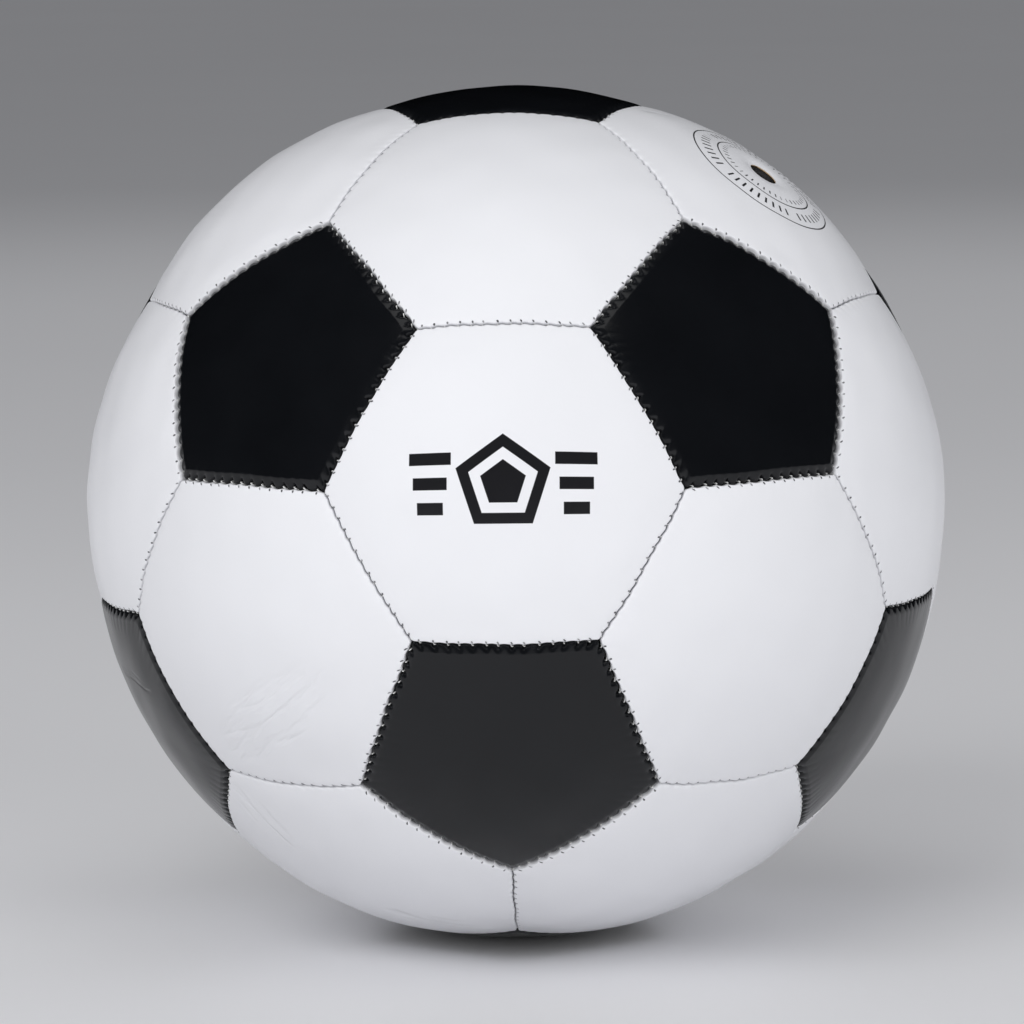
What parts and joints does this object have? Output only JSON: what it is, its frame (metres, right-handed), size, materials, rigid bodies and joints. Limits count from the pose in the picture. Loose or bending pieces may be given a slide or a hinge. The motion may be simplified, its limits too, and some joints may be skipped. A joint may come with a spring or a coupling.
{
  "type": "soccer ball",
  "caption": "Inflatable stitched ball with black pentagon and white hexagon panels, a rubber bladder inside and a needle valve in one panel.",
  "frame": {"origin": "middle of the ball", "axes": "+Z leaves through the crown of the top pentagon; -Y leaves through the upper hexagon named hexagon_upper_1, a little below its crown; the valve is on the +X side of the upper half"},
  "size_m": [0.2172, 0.2192, 0.217],
  "materials": {
    "black_cover": "glossy synthetic leather",
    "white_cover": "glossy synthetic leather",
    "foam": "fine closed-cell foam",
    "lining_cloth": "woven cloth",
    "backing_cloth": "rubberised cloth",
    "sewing_thread": "waxed thread",
    "bladder_rubber": "dusty matt rubber",
    "valve_rubber": "moulded matt rubber",
    "core_rubber": "moulded matt rubber"
  },
  "bodies": {
    "root": {"pentagon_top": "black_cover", "hexagon_top_1": "white_cover", "hexagon_top_2": "white_cover", "hexagon_top_3": "white_cover", "hexagon_top_4": "white_cover", "hexagon_top_5": "white_cover", "pentagon_upper_1": "black_cover", "pentagon_upper_2": "black_cover", "pentagon_upper_3": "black_cover", "pentagon_upper_4": "black_cover", "pentagon_upper_5": "black_cover", "hexagon_upper_1": "white_cover", "hexagon_upper_2": "white_cover", "hexagon_upper_3": "white_cover", "hexagon_upper_4": "white_cover", "hexagon_upper_5": "white_cover", "hexagon_lower_1": "white_cover", "hexagon_lower_2": "white_cover", "hexagon_lower_3": "white_cover", "hexagon_lower_4": "white_cover", "hexagon_lower_5": "white_cover", "pentagon_lower_1": "black_cover", "pentagon_lower_2": "black_cover", "pentagon_lower_3": "black_cover", "pentagon_lower_4": "black_cover", "pentagon_lower_5": "black_cover", "hexagon_bottom_1": "white_cover", "hexagon_bottom_2": "white_cover", "hexagon_bottom_3": "white_cover", "hexagon_bottom_4": "white_cover", "hexagon_bottom_5": "white_cover", "pentagon_bottom": "black_cover", "pentagon_foam": "foam", "hexagon_foam": "foam", "pentagon_lining": "lining_cloth", "hexagon_lining": "lining_cloth", "pentagon_thread": "sewing_thread", "hexagon_thread": "sewing_thread", "bladder": "bladder_rubber", "balance_patch": "bladder_rubber", "valve_backing": "backing_cloth", "valve_housing": "valve_rubber", "valve_core": "core_rubber"}
  },
  "joints": []
}
